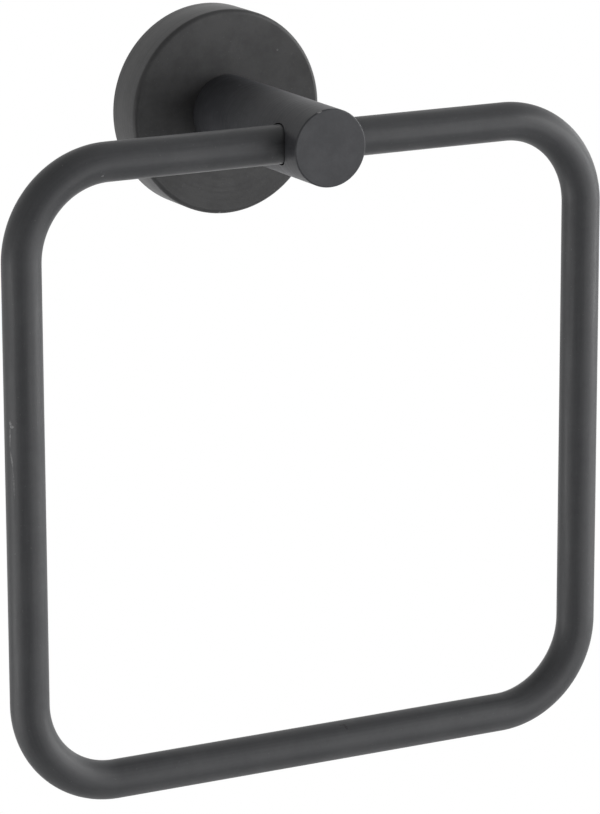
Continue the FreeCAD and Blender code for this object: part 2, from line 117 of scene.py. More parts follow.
class Bench:
    """Hand tools that every piece is shaped with."""

    @staticmethod
    def lay_down() -> None:
        """Leaves edit mode and deselects everything."""
        if bpy.context.object is not None and bpy.context.object.mode != "OBJECT":
            bpy.ops.object.mode_set(mode="OBJECT")
        bpy.ops.object.select_all(action="DESELECT")

    @staticmethod
    def take(piece: bpy.types.Object) -> None:
        """Makes one piece the only selected and active one.

        Args:
            piece: the piece to work on.
        """
        Bench.lay_down()
        piece.select_set(True)
        bpy.context.view_layer.objects.active = piece

    @staticmethod
    def fix_place(piece: bpy.types.Object) -> bpy.types.Object:
        """Puts a piece's place into its mesh.

        Args:
            piece: the piece to fix.

        Returns:
            The same piece, with its object at the origin.
        """
        Bench.take(piece)
        bpy.ops.object.transform_apply(location=True, rotation=True, scale=True)
        return piece

    @staticmethod
    def rod(
        name: str, radius: float, start: Point, length: float, along: Along, sides: int
    ) -> bpy.types.Object:
        """Saws off a round blank.

        Args:
            name: name of the blank.
            radius: its radius.
            start: middle of its lowest end on the axis.
            length: its length towards the positive end of the axis.
            along: the axis that it lies on.
            sides: number of flats round it.

        Returns:
            The blank, with its place in its mesh.
        """
        Bench.lay_down()
        middle = Vector(start) + along.way * (length / 2)
        bpy.ops.mesh.primitive_cylinder_add(
            vertices=sides, radius=radius, depth=length, location=middle, rotation=along.value
        )
        blank = bpy.context.object
        blank.name = name
        blank.data.name = name
        return Bench.fix_place(blank)

    @staticmethod
    def edit(piece: bpy.types.Object, pick: Pick, everything: bool = False) -> bmesh.types.BMesh:
        """Opens a piece in edit mode.

        Args:
            piece: the piece to open.
            pick: what is selected from here on.
            everything: True to start with all selected, False to start with nothing.

        Returns:
            The mesh that is being edited.
        """
        Bench.take(piece)
        bpy.ops.object.mode_set(mode="EDIT")
        bpy.ops.mesh.select_mode(type=pick.value)
        bpy.ops.mesh.select_all(action="SELECT" if everything else "DESELECT")
        return bmesh.from_edit_mesh(piece.data)

    @staticmethod
    def pick_where(piece: bpy.types.Object, pick: Pick, wanted: Callable[[Any], bool]) -> None:
        """Selects edges or faces by their place or normal and stays in edit mode.

        Args:
            piece: the piece to work on.
            pick: whether edges or faces are picked.
            wanted: test that each one has to pass.
        """
        mesh = Bench.edit(piece, pick)
        for element in mesh.edges if pick is Pick.EDGES else mesh.faces:
            element.select_set(wanted(element))
        bmesh.update_edit_mesh(piece.data)

    @staticmethod
    def modify(piece: bpy.types.Object, kind: str, **settings: Any) -> None:
        """Changes a piece by a modifier and applies it.

        Args:
            piece: the piece to change.
            kind: the modifier's type.
            **settings: its properties.
        """
        Bench.take(piece)
        step = piece.modifiers.new(kind, kind)
        for name, value in settings.items():
            setattr(step, name, value)
        bpy.ops.object.modifier_apply(modifier=step.name)

    @staticmethod
    def bevel_rim(
        piece: bpy.types.Object, along: Along, place: float, radius: float, width: float, steps: int
    ) -> None:
        """Eases the round rim that lies at one place along an axis.

        Args:
            piece: the piece to work on.
            along: the axis through the middle of the rim.
            place: where the rim lies along the axis.
            radius: radius of the rim.
            width: width of the bevel.
            steps: number of steps; 1 makes a plain bevel.
        """

        def on_rim(edge: bmesh.types.BMEdge) -> bool:
            """Tells whether both ends of an edge lie on the rim."""
            return all(
                abs(end.co[along.number] - place) < CLOSE
                and abs(Bench.off_axis(end.co, along) - radius) < CLOSE
                for end in edge.verts
            )

        Bench.pick_where(piece, Pick.EDGES, on_rim)
        bpy.ops.mesh.bevel(
            offset_type="OFFSET", offset=width, segments=steps, profile=0.5, affect="EDGES"
        )
        Bench.lay_down()

    @staticmethod
    def off_axis(point: Vector, along: Along) -> float:
        """Returns a point's distance from the line through the frame's origin along an axis."""
        return math.sqrt(sum(point[i] ** 2 for i in range(3) if i != along.number))

    @staticmethod
    def combine(piece: bpy.types.Object, other: bpy.types.Object, join: Join) -> None:
        """Cuts a second piece out of the first or welds it on, and uses it up.

        Args:
            piece: the piece that stays.
            other: the piece that is used up.
            join: what is done with it.
        """
        Bench.modify(piece, "BOOLEAN", operation=join.value, solver="EXACT", object=other)
        bpy.data.objects.remove(other)

    @staticmethod
    def cut_thread(
        piece: bpy.types.Object, thread: Thread, start: Point, length: float, along: Along
    ) -> None:
        """Cuts a V-shaped thread into a shank, or into the wall of a hole.

        Args:
            piece: the piece to cut.
            thread: the thread's size and side.
            start: where the cutter enters on the axis.
            length: how far it runs; downwards in Z, towards the front in Y.
            along: the axis of the thread.
        """
        Bench.lay_down()
        side = thread.pitch * thread.fullness
        height = side * math.sqrt(0.75)
        tip_way = 1.0 if thread.inside else -1.0
        middle = thread.radius + tip_way * (thread.depth - height * 2 / 3)
        bpy.ops.mesh.primitive_circle_add(
            vertices=3,
            radius=height * 2 / 3,
            location=(middle, 0.0, 0.0),
            rotation=(QUARTER, tip_way * QUARTER, 0.0),
        )
        cutter = Bench.fix_place(bpy.context.object)
        cutter.name = cutter.data.name = "thread_cutter"
        Bench.modify(
            cutter,
            "SCREW",
            axis="Z",
            screw_offset=-thread.pitch,
            iterations=math.ceil(length / thread.pitch),
            steps=thread.steps,
            render_steps=thread.steps,
            use_merge_vertices=False,
        )
        Bench.edit(cutter, Pick.POINTS, everything=True)
        bpy.ops.mesh.fill_holes(sides=3)
        bpy.ops.mesh.select_all(action="SELECT")
        bpy.ops.mesh.normals_make_consistent(inside=False)
        Bench.take(cutter)
        cutter.rotation_euler = (-QUARTER, 0.0, 0.0) if along is Along.Y else (0.0, 0.0, 0.0)
        cutter.location = start
        Bench.fix_place(cutter)
        Bench.combine(piece, cutter, Join.CUT)

    @staticmethod
    def sink(
        piece: bpy.types.Object, mouth: Point, radius: float, depth: float, along: Along, flip: bool = False
    ) -> None:
        """Breaks the edge of a hole's mouth with a cone.

        Args:
            piece: the piece with the hole.
            mouth: middle of the mouth.
            radius: radius of the hole.
            depth: depth of the cone, which is as wide again.
            along: the axis of the hole.
            flip: True where the mouth looks to the positive end of the axis.
        """
        Bench.lay_down()
        wide, narrow = radius + 2 * depth, radius - depth
        bpy.ops.mesh.primitive_cone_add(
            vertices=96,
            radius1=narrow if flip else wide,
            radius2=wide if flip else narrow,
            depth=3 * depth,
            location=(0.0, 0.0, 0.0),
        )
        cone = Bench.fix_place(bpy.context.object)
        if along is Along.Y:
            cone.rotation_euler = (-QUARTER, 0.0, 0.0)
        shift = along.way * (0.5 * depth)
        cone.location = Vector(mouth) + shift * (-1.0 if flip else 1.0)
        Bench.combine(piece, Bench.fix_place(cone), Join.CUT)

    @staticmethod
    def tap_from_below(
        piece: bpy.types.Object, thread: Thread, reach: float, radius: float, wall: float, mouth: float
    ) -> None:
        """Drills, taps and sinks a hole that runs up through the wall of a round piece.

        Args:
            piece: the piece to drill.
            thread: the hole's thread.
            reach: how far in front of the frame's origin the hole stands.
            radius: outer radius of the piece.
            wall: thickness of its wall.
            mouth: depth of the broken edge.
        """
        through = wall + 2 * PAST
        drill = Bench.rod("drill", thread.radius, (0.0, -reach, -radius - PAST), through, Along.Z, sides=48)
        Bench.combine(piece, drill, Join.CUT)
        Bench.cut_thread(piece, thread, (0.0, -reach, wall + PAST - radius), through, Along.Z)
        Bench.sink(piece, (0.0, -reach, -radius), thread.radius, mouth, Along.Z)

    @staticmethod
    def flatted_rod(name: str, radius: float, flat: float, start: float, length: float) -> bpy.types.Object:
        """Makes a round blank along Y with a flat on its left and right.

        Args:
            name: name of the blank.
            radius: its radius.
            flat: distance of each flat from the axis.
            start: where it starts along Y.
            length: its length along Y.

        Returns:
            The blank.
        """
        blank = Bench.rod(name, radius, (0.0, start, 0.0), length, Along.Y, sides=96)
        for side in (-1.0, 1.0):
            Bench.edit(blank, Pick.FACES, everything=True)
            edge, out = (side * flat, 0.0, 0.0), (side, 0.0, 0.0)
            bpy.ops.mesh.bisect(plane_co=edge, plane_no=out, use_fill=True, clear_outer=True)
        Bench.lay_down()
        return blank

    @staticmethod
    def heal(piece: bpy.types.Object) -> None:
        """Merges doubles, turns the faces outwards and leaves edit mode.

        Args:
            piece: the piece to heal.
        """
        Bench.edit(piece, Pick.POINTS, everything=True)
        bpy.ops.mesh.remove_doubles(threshold=SEAM)
        bpy.ops.mesh.normals_make_consistent(inside=False)
        Bench.take(piece)

    @staticmethod
    def finish(piece: bpy.types.Object, angle: float = 32.0) -> bpy.types.Object:
        """Heals a piece and smooths its round surfaces.

        Args:
            piece: the piece to finish.
            angle: edges sharper than this many degrees stay crisp.

        Returns:
            The same piece.
        """
        Bench.heal(piece)
        bpy.ops.object.shade_smooth_by_angle(angle=math.radians(angle))
        Bench.modify(piece, "WEIGHTED_NORMAL", keep_sharp=True)
        Bench.lay_down()
        return piece


class Wiring:
    """A material's node tree, laid out from left to right."""

    def __init__(self, name: str) -> None:
        """Starts a material with a Principled shader.

        Args:
            name: name of the material.
        """
        self.material = bpy.data.materials.new(name)
        self.material.use_nodes = True
        self.tree = self.material.node_tree
        self.tree.nodes.clear()
        output = self.add("ShaderNodeOutputMaterial")
        self.shader = self.add("ShaderNodeBsdfPrincipled")
        self.link(self.shader.outputs["BSDF"], output, "Surface")
        self.place = self.add("ShaderNodeTexCoord").outputs["Object"]

    def add(self, kind: str, values: dict[str | int, Any] | None = None, **settings: Any) -> bpy.types.Node:
        """Adds a node.

        Args:
            kind: the node's type.
            values: what its open inputs say.
            **settings: its properties.

        Returns:
            The node.
        """
        node = self.tree.nodes.new(kind)
        node.location = (260 * len(self.tree.nodes), 0)
        for name, setting in settings.items():
            setattr(node, name, setting)
        for socket, value in (values or {}).items():
            node.inputs[socket].default_value = value
        return node

    def link(self, source: Socket, target: bpy.types.Node, socket: str | int) -> None:
        """Links an output to another node's input."""
        self.tree.links.new(source, target.inputs[socket])

    def grain(
        self, scale: float, detail: float = 2.0, roughness: float = 0.5, place: Socket | None = None
    ) -> Socket:
        """Adds a noise pattern.

        Args:
            scale: number of grains in a metre.
            detail: number of finer layers.
            roughness: share of the finer layers.
            place: the coordinates that it lies on, or None for the object's own.

        Returns:
            The pattern.
        """
        values = {"Scale": scale, "Detail": detail, "Roughness": roughness}
        noise = self.add("ShaderNodeTexNoise", values)
        self.link(self.place if place is None else place, noise, "Vector")
        return noise.outputs["Fac"]

    def lathe_place(self) -> Socket:
        """Adds coordinates of a turned piece: distance from the Y axis, and place along it.

        Returns:
            The coordinates.
        """
        split = self.add("ShaderNodeSeparateXYZ")
        self.link(self.place, split, "Vector")
        across = self.add("ShaderNodeVectorMath", {1: (1.0, 0.0, 1.0)}, operation="MULTIPLY")
        self.link(self.place, across, 0)
        reach = self.add("ShaderNodeVectorMath", operation="LENGTH")
        self.link(across.outputs["Vector"], reach, 0)
        turned = self.add("ShaderNodeCombineXYZ")
        self.link(reach.outputs["Value"], turned, "X")
        self.link(split.outputs["Y"], turned, "Y")
        return turned.outputs["Vector"]

    def spread(
        self, source: Socket, low: float, high: float, start: float = 0.35, end: float = 0.65
    ) -> Socket:
        """Maps a pattern's range onto a range of values.

        Args:
            source: the pattern.
            low: value at the start.
            high: value at the end.
            start: pattern value where the range starts.
            end: pattern value where the range ends.

        Returns:
            The values.
        """
        values = {"From Min": start, "From Max": end, "To Min": low, "To Max": high}
        span = self.add("ShaderNodeMapRange", values)
        self.link(source, span, "Value")
        return span.outputs["Result"]

    def soft_ball(self, values: dict[str | int, Any], high: float, end: float) -> Socket:
        """Adds a ball that fades out at its edge.

        Args:
            values: its location, rotation and scale.
            high: value in its middle.
            end: how far in from its edge, as a share of its radius, it has that value.

        Returns:
            The values.
        """
        around = self.add("ShaderNodeMapping", values, vector_type="TEXTURE")
        self.link(self.place, around, "Vector")
        ball = self.add("ShaderNodeTexGradient", gradient_type="SPHERICAL")
        self.link(around.outputs["Vector"], ball, "Vector")
        return self.spread(ball.outputs["Fac"], low=0.0, high=high, start=0.0, end=end)

    def tint(self, source: Socket, stops: Iterable[tuple[float, Point]]) -> Socket:
        """Colours a pattern.

        Args:
            source: the pattern.
            stops: places and colours of the ramp.

        Returns:
            The colours.
        """
        ramp = self.add("ShaderNodeValToRGB")
        elements = ramp.color_ramp.elements
        for number, (place, colour) in enumerate(stops):
            stop = elements[number] if number < len(elements) else elements.new(place)
            stop.position = place
            stop.color = (*colour, 1.0)
        self.link(source, ramp, "Fac")
        return ramp.outputs["Color"]

    def lay_over(self, under: Socket, mask: Socket, colour: Point) -> Socket:
        """Lays a colour over others where a mask says.

        Args:
            under: the colours below.
            mask: the mask.
            colour: the colour on top.

        Returns:
            The mixed colours.
        """
        mixed = self.add("ShaderNodeMix", {"B": (*colour, 1.0)}, data_type="RGBA")
        self.link(mask, mixed, "Factor")
        self.link(under, mixed, "A")
        return mixed.outputs["Result"]

    def relief(self, source: Socket, depth: float, strength: float, under: Socket | None = None) -> Socket:
        """Turns a pattern into relief.

        Args:
            source: the pattern.
            depth: height of the relief in metres.
            strength: how much of it counts.
            under: relief that it lies on, or None.

        Returns:
            The relief.
        """
        bump = self.add("ShaderNodeBump", {"Strength": strength, "Distance": depth})
        self.link(source, bump, "Height")
        if under is not None:
            self.link(under, bump, "Normal")
        return bump.outputs["Normal"]

    def finish(
        self, colour: Socket, roughness: Socket, relief: Socket, metallic: float = 0.0
    ) -> bpy.types.Material:
        """Gives the shader its patterns.

        Args:
            colour: the colours.
            roughness: how matt it is.
            relief: the relief.
            metallic: how metallic it is.

        Returns:
            The finished material.
        """
        for source, socket in ((colour, "Base Color"), (roughness, "Roughness"), (relief, "Normal")):
            self.link(source, self.shader, socket)
        self.shader.inputs["Metallic"].default_value = metallic
        return self.material


# Colours of a pale rub or spot in the coat, of a painted glint on an edge, and of the painted shade in a
# dent
PALE = (0.300, 0.300, 0.305)
PAINTED_GLINT = (0.500, 0.500, 0.500)
PAINTED_DENT_SHADE = (0.008, 0.008, 0.009)


@dataclass(frozen=True)
class RubAndPaintedLightMark:
    """Mark in the coat, which is a rub, a spot, a painted glint or the painted shade of a dent: its middle
    and half sizes in millimetres, its turn in degrees, and how it shows.
    """

    middle: Point
    half: Point
    turn: Point = (0.0, 0.0, 0.0)
    strength: float = 1.0
    colour: Point = PALE

    def mask(self, coat: Wiring) -> Socket:
        """Lays the mark's soft mask.

        Args:
            coat: the coat that it lies in.

        Returns:
            The mask.
        """
        values = {
            "Location": [value * MM for value in self.middle],
            "Rotation": [math.radians(value) for value in self.turn],
            "Scale": [value * MM for value in self.half],
        }
        return coat.soft_ball(values, self.strength, end=0.4)


LOOP_MARKS = (
    RubAndPaintedLightMark((-84.6, -60.95, -62.7), (1.5, 0.42, 1.0), (-8.0, 0.0, 0.0)),
    RubAndPaintedLightMark((-84.4, -61.35, -63.4), (1.5, 0.64, 0.45), (-20.0, 0.0, 0.0), 0.9),
    RubAndPaintedLightMark((-84.7, -60.75, -66.2), (1.5, 0.27, 2.8), (2.0, 0.0, 0.0), 0.8),
    RubAndPaintedLightMark((-84.5, -61.10, -71.7), (1.5, 0.27, 2.3), (-9.0, 0.0, 0.0), 0.7),
    RubAndPaintedLightMark((-84.3, -61.55, -77.5), (1.5, 0.30, 4.6), (-3.0, 0.0, 0.0), 0.35),
    RubAndPaintedLightMark((-69.1, -63.7, 1.2), (0.8, 0.8, 0.26), (0.0, -8.0, 0.0), 0.45),
    RubAndPaintedLightMark((-59.8, -63.35, -2.5), (0.45, 0.8, 0.30), strength=0.5),
    # Two dark marks on the bottom bar: the painted shade of a small dent
    RubAndPaintedLightMark((8.2, -60.95, -155.40), (1.15, 0.50, 0.9), (24.0, 12.0, 0.0), colour=PAINTED_DENT_SHADE),
    RubAndPaintedLightMark((8.8, -61.75, -155.85), (0.42, 1.00, 0.9), (32.0, 0.0, 0.0), colour=PAINTED_DENT_SHADE),
)
COVER_MARKS = (
    RubAndPaintedLightMark((14.7, -13.0, 15.3), (0.34, 0.6, 0.34), strength=0.5),
    RubAndPaintedLightMark((2.7, -13.0, 16.2), (2.4, 1.2, 6.0), (0.0, 12.0, 0.0), 0.035),
    # Pale spot at six o'clock on the cover's front rim
    RubAndPaintedLightMark((-2.4, -12.3, -26.6), (0.5, 1.0, 0.7), strength=0.8),
)
POST_MARKS = (
    RubAndPaintedLightMark((-3.1, -26.2, 9.5), (0.45, 0.5, 0.7), strength=0.3),
    # Painted glint on the upper left of the nose's rim, laid into the coat as a pale patch
    RubAndPaintedLightMark((-3.1, -69.95, 9.55), (1.2, 0.6, 0.36), (0.0, -18.0, 0.0), 0.9, PAINTED_GLINT),
)


@dataclass(frozen=True)
class SatinBlackCoat:
    """Fine-grained black coat on metal, with faint streaks along or round the piece, marks and dust; some
    marks are a painted glint or a dent's painted shade.
    """

    name: str = "satin_black_coat"
    deep: Point = (0.0354, 0.0364, 0.0394)
    worn: Point = (0.0506, 0.0516, 0.0546)
    dust: Point = (0.150, 0.150, 0.150)
    sheen_low: float = 0.37
    sheen_high: float = 0.53
    index: float = 1.39
    streaky: float = 0.45
    marks: tuple[RubAndPaintedLightMark, ...] = LOOP_MARKS
    lengthways: str = "lie"

    def make(self) -> bpy.types.Material:
        """Mixes the coat.

        Returns:
            The material.
        """
        coat = Wiring(self.name)
        streak = self.streaks(coat)
        blend = coat.add("ShaderNodeMix", {"Factor": self.streaky})
        coat.link(coat.grain(90.0, detail=7.0, roughness=0.72), blend, "A")
        coat.link(streak, blend, "B")
        colour = coat.tint(blend.outputs["Result"], [(0.41, self.deep), (0.59, self.worn)])
        dusty = coat.spread(coat.grain(1500.0, roughness=0.6), low=0.0, high=0.5, start=0.69, end=0.80)
        colour = self.add_marks(coat, coat.lay_over(colour, dusty, self.dust))
        sheen = coat.spread(streak, self.sheen_low, self.sheen_high)

        powder = coat.grain(3000.0, detail=3.0, roughness=0.6)
        relief = coat.relief(powder, depth=0.016 * MM, strength=0.80)
        relief = coat.relief(coat.grain(1300.0), depth=0.012 * MM, strength=0.40, under=relief)
        relief = coat.relief(streak, depth=0.012 * MM, strength=self.streaky, under=relief)
        coat.shader.inputs["IOR"].default_value = self.index
        return coat.finish(colour, sheen, relief)

    def streaks(self, coat: Wiring) -> Socket:
        """Lays streaks along a drawn piece, or round a turned one.

        Args:
            coat: the coat that they lie in.

        Returns:
            The pattern.
        """
        if not self.lengthways:
            return coat.grain(1500.0, detail=3.0, roughness=0.62, place=coat.lathe_place())
        lie = coat.add("ShaderNodeAttribute", attribute_name=self.lengthways)
        drawn = coat.add("ShaderNodeMapping", {"Scale": (1.0, 1.0, 0.05)})
        coat.link(lie.outputs["Vector"], drawn, "Vector")
        return coat.grain(700.0, detail=3.0, roughness=0.62, place=drawn.outputs["Vector"])

    def add_marks(self, coat: Wiring, colour: Socket) -> Socket:
        """Lays the marks over the colour, broken up by a fine grain.

        Args:
            coat: the coat that they lie in.
            colour: the colours so far.

        Returns:
            The colours with the marks.
        """
        grit = coat.grain(2100.0, detail=3.0, roughness=0.6)
        broken = coat.spread(grit, low=0.25, high=1.0, start=0.40, end=0.58)
        for mark in self.marks:
            share = coat.add("ShaderNodeMath", operation="MULTIPLY")
            coat.link(mark.mask(coat), share, 0)
            coat.link(broken, share, 1)
            colour = coat.lay_over(colour, share.outputs["Value"], mark.colour)
        return colour


@dataclass(frozen=True)
class PlatedSteel:
    """Bright zinc plating with faint marks and dull patches."""

    name: str = "zinc_plated_steel"
    light: Point = (0.56, 0.57, 0.58)
    dull: Point = (0.44, 0.45, 0.46)
    polish: float = 0.28
    matt: float = 0.40

    def make(self) -> bpy.types.Material:
        """Mixes the plating.

        Returns:
            The material.
        """
        plate = Wiring(self.name)
        cloud = plate.grain(420.0, detail=5.0, roughness=0.65)
        colour = plate.tint(cloud, [(0.35, self.dull), (0.65, self.light)])
        patch = plate.spread(plate.grain(380.0, detail=3.0), self.polish, self.matt)
        rings = plate.add(
            "ShaderNodeTexWave", {"Scale": 900.0, "Distortion": 0.8}, wave_type="RINGS", rings_direction="Y"
        )
        plate.link(plate.place, rings, "Vector")
        relief = plate.relief(rings.outputs["Fac"], depth=0.006 * MM, strength=0.4)
        relief = plate.relief(plate.grain(2600.0), depth=0.008 * MM, strength=0.4, under=relief)
        return plate.finish(colour, patch, relief, metallic=1.0)


@dataclass(frozen=True)
class TurnedBrass:
    """Plain brass straight from the lathe."""

    name: str = "turned_brass"
    bright: Point = (0.74, 0.54, 0.25)
    tarnished: Point = (0.55, 0.38, 0.16)
    polish: float = 0.22
    matt: float = 0.38

    def make(self) -> bpy.types.Material:
        """Mixes the brass.

        Returns:
            The material.
        """
        brass = Wiring(self.name)
        cloud = brass.grain(240.0, detail=4.0, roughness=0.6)
        colour = brass.tint(cloud, [(0.3, self.tarnished), (0.6, self.bright)])
        rings = brass.add(
            "ShaderNodeTexWave", {"Scale": 1100.0, "Distortion": 0.6}, wave_type="BANDS", bands_direction="X"
        )
        brass.link(brass.place, rings, "Vector")
        rub = brass.spread(rings.outputs["Fac"], self.polish, self.matt, start=0.0, end=1.0)
        relief = brass.relief(rings.outputs["Fac"], depth=0.01 * MM, strength=0.5)
        return brass.finish(colour, rub, relief, metallic=1.0)


@dataclass(frozen=True)
class BlackenedSteel:
    """Oiled black oxide on small screws, thinner on rubbed spots."""

    name: str = "blackened_steel"
    oxide: Point = (0.020, 0.020, 0.022)
    rubbed: Point = (0.070, 0.070, 0.075)
    wet: float = 0.28
    dry: float = 0.45

    def make(self) -> bpy.types.Material:
        """Mixes the oxide.

        Returns:
            The material.
        """
        steel = Wiring(self.name)
        cloud = steel.grain(900.0, detail=4.0, roughness=0.65)
        colour = steel.tint(cloud, [(0.45, self.oxide), (0.72, self.rubbed)])
        oil = steel.spread(steel.grain(600.0), self.wet, self.dry)
        relief = steel.relief(steel.grain(4000.0), depth=0.006 * MM, strength=0.5)
        return steel.finish(colour, oil, relief, metallic=0.6)


@dataclass(frozen=True)
class Finishes:
    """The materials that the pieces wear, made once."""

    loop_coat: bpy.types.Material
    cover_coat: bpy.types.Material
    post_coat: bpy.types.Material
    plating: bpy.types.Material
    brass: bpy.types.Material
    oxide: bpy.types.Material

    @classmethod
    def make(cls) -> "Finishes":
        """Makes every finish.

        Returns:
            The set of materials.
        """
        turned = SatinBlackCoat(index=1.33, streaky=0.08, lengthways="")
        cover = replace(
            turned,
            name="satin_black_coat_cover",
            deep=(0.0399, 0.0399, 0.0409),
            worn=(0.0571, 0.0571, 0.0581),
            marks=COVER_MARKS,
        )
        post = replace(
            turned,
            name="satin_black_coat_post",
            deep=(0.0352, 0.0361, 0.0402),
            worn=(0.0514, 0.0524, 0.0574),
            marks=POST_MARKS,
        )
        return cls(
            loop_coat=SatinBlackCoat().make(),
            cover_coat=cover.make(),
            post_coat=post.make(),
            plating=PlatedSteel().make(),
            brass=TurnedBrass().make(),
            oxide=BlackenedSteel().make(),
        )


def hang(piece: bpy.types.Object, node: str, material: bpy.types.Material) -> None:
    """Dresses a finished piece and lets it stand for its solid.

    Args:
        piece: the finished piece.
        node: the solid that it stands for.
        material: the finish that it wears.
    """
    piece.data.materials.clear()
    piece.data.materials.append(material)
    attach(piece, "root")
    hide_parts(node)
    LOG.info("%s: %d faces, wears %s", piece.name, len(piece.data.polygons), material.name)


@dataclass
class RosetteCover:
    """Round cup on the wall, open at the back, with the post's seat and a threaded hole at six o'clock."""

    radius: float = 27.0 * MM
    depth: float = 13.0 * MM
    wall: float = 3.0 * MM
    face: float = 3.0 * MM
    edge: float = 1.2 * MM
    rim: float = 0.3 * MM
    seat_radius: float = 6.1 * MM
    seat_flat: float = 5.1 * MM
    thread_reach: float = 5.0 * MM
    thread: Thread = Thread(radius=2.05 * MM, depth=0.3 * MM, pitch=0.7 * MM, inside=True)
    mouth: float = 0.25 * MM

    def build(self) -> bpy.types.Object:
        """Turns the cup, cuts the post's seat and drills and taps the hole for the grub screw.

        Returns:
            The cup.
        """
        cup = Bench.rod("cover_cup", self.radius, (0.0, -self.depth, 0.0), self.depth, Along.Y, sides=256)
        Bench.bevel_rim(cup, Along.Y, -self.depth, self.radius, self.edge, steps=10)
        Bench.pick_where(cup, Pick.FACES, lambda face: face.normal.y > 0.99)
        bpy.ops.mesh.inset(thickness=self.wall)
        inside = (0.0, self.face - self.depth, 0.0)
        bpy.ops.mesh.extrude_region_move(TRANSFORM_OT_translate={"value": inside})
        Bench.lay_down()
        for radius in (self.radius, self.radius - self.wall):
            Bench.bevel_rim(cup, Along.Y, 0.0, radius, self.rim, steps=2)
        seat = Bench.flatted_rod(
            "seat", self.seat_radius, self.seat_flat, -self.depth - PAST, self.face + 2 * PAST
        )
        Bench.combine(cup, seat, Join.CUT)
        Bench.tap_from_below(cup, self.thread, self.thread_reach, self.radius, self.wall, self.mouth)
        return Bench.finish(cup)

    def dress(self, finishes: Finishes) -> None:
        """Builds the cup and gives it its coat."""
        hang(self.build(), "rosette_cover", finishes.cover_coat)


@dataclass
class Post:
    """Turned bar that stands square to the wall, with a cross bore for the loop near its nose."""

    radius: float = 10.0 * MM
    seat: float = 13.0 * MM
    reach: float = 70.0 * MM
    edge: float = 0.4 * MM
    boss_radius: float = 6.0 * MM
    boss_flat: float = 5.0 * MM
    boss_length: float = 2.7 * MM
    bore_radius: float = 5.35 * MM
    bore_reach: float = 59.0 * MM
    screw_depth: float = 12.0 * MM
    pip_radius: float = 0.45 * MM
    pip_depth: float = 0.05 * MM
    mouth: float = 0.3 * MM
    grub_thread: Thread = Thread(radius=2.05 * MM, depth=0.3 * MM, pitch=0.7 * MM, inside=True)
    screw_thread: Thread = Thread(radius=3.05 * MM, depth=0.45 * MM, pitch=1.0 * MM, inside=True)

    def build(self) -> bpy.types.Object:
        """Turns, bores and drills the post.

        Returns:
            The post.
        """
        nose = (0.0, -self.reach, 0.0)
        stem = Bench.rod("post_stem", self.radius, nose, self.reach - self.seat, Along.Y, sides=192)
        Bench.bevel_rim(stem, Along.Y, -self.reach, self.radius, self.edge, steps=3)
        Bench.pick_where(stem, Pick.FACES, lambda face: face.normal.y < -0.99)
        bpy.ops.mesh.inset(thickness=self.radius - self.edge - self.pip_radius)
        bpy.ops.mesh.inset(thickness=0.6 * self.pip_radius)
        bpy.ops.transform.translate(value=(0.0, self.pip_depth, 0.0))
        Bench.lay_down()
        boss = Bench.flatted_rod(
            "boss", self.boss_radius, self.boss_flat, -self.seat - PAST, self.boss_length + PAST
        )
        Bench.combine(stem, boss, Join.WELD)
        self.bore_for_loop(stem)
        self.tap_for_screw(stem)
        return Bench.finish(stem)

    def bore_for_loop(self, stem: bpy.types.Object) -> None:
        """Bores the stem across for the loop, and drills and taps its grub screw's hole from below.

        Args:
            stem: the turned stem.
        """
        left = (-2 * self.radius, -self.bore_reach, 0.0)
        bore = Bench.rod("bore", self.bore_radius, left, 4 * self.radius, Along.X, sides=160)
        Bench.combine(stem, bore, Join.CUT)
        wall = self.radius - self.bore_radius
        Bench.tap_from_below(stem, self.grub_thread, self.bore_reach, self.radius, wall, self.mouth)

    def tap_for_screw(self, stem: bpy.types.Object) -> None:
        """Drills and taps the boss from behind.

        Args:
            stem: the stem with its boss.
        """
        deep = (0.0, -self.seat - self.screw_depth, 0.0)
        length = self.screw_depth + self.boss_length + PAST
        drill = Bench.rod("drill", self.screw_thread.radius, deep, length, Along.Y, sides=64)
        Bench.combine(stem, drill, Join.CUT)
        behind = (0.0, self.boss_length - self.seat + PAST, 0.0)
        Bench.cut_thread(stem, self.screw_thread, behind, self.screw_depth, Along.Y)

    def dress(self, finishes: Finishes) -> None:
        """Builds the post and gives it its coat."""
        hang(self.build(), "post", finishes.post_coat)


